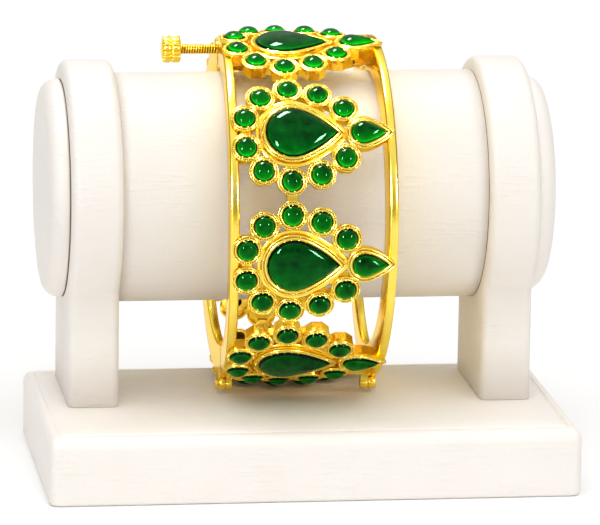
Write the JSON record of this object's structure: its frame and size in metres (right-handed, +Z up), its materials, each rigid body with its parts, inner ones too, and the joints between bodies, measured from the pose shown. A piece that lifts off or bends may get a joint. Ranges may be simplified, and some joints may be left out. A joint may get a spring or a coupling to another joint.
{
  "type": "meenakari bangle on display stand",
  "caption": "Hinged openwork gold bangle set with green cabochons, with a screw closure, hung on a padded roll display stand.",
  "frame": {"origin": "centre of the stand base's underside", "axes": "+X along the stand's bar to the right, +Y away from the viewer, +Z up"},
  "size_m": [0.1058, 0.0814, 0.0874],
  "materials": {
    "leatherette": "cream leatherette with a fine grain",
    "gold": "gold-plated, polished rails and cast openwork",
    "green_stone": "polished emerald-green cabochons"
  },
  "bodies": {
    "stand": {"base": "leatherette", "post_left": "leatherette", "post_right": "leatherette", "bar": "leatherette", "end_cap_left": "leatherette", "end_cap_right": "leatherette", "bangle_back_half": "gold", "hinge_pin_left": "gold", "hinge_pin_right": "gold", "pear_stone_5": "green_stone", "pear_stone_6": "green_stone", "pear_stone_7": "green_stone", "pear_stone_8": "green_stone", "drop_stone_5": "green_stone", "drop_stone_6": "green_stone", "drop_stone_7": "green_stone", "drop_stone_8": "green_stone", "round_stones_5": "green_stone", "round_stones_6": "green_stone", "round_stones_7": "green_stone", "round_stones_8": "green_stone"},
    "front_half": {"bangle_front_half": "gold", "pear_stone_1": "green_stone", "pear_stone_2": "green_stone", "pear_stone_3": "green_stone", "pear_stone_4": "green_stone", "drop_stone_1": "green_stone", "drop_stone_2": "green_stone", "drop_stone_3": "green_stone", "drop_stone_4": "green_stone", "round_stones_1": "green_stone", "round_stones_2": "green_stone", "round_stones_3": "green_stone", "round_stones_4": "green_stone"},
    "screw": {"closure_screw": "gold"}
  },
  "joints": [
    {"name": "front_hinge", "type": "hinge", "parent": "stand", "child": "front_half", "pos_m": [0.00023, 0.00459, 0.0158], "axis": [0.9995, -0.0314, 0], "range_deg": [0, 26]},
    {"name": "screw_slide", "type": "slide", "parent": "stand", "child": "screw", "axis": [0.9995, -0.0314, 0], "range_m": [-0.001, 0.0072]}
  ]
}
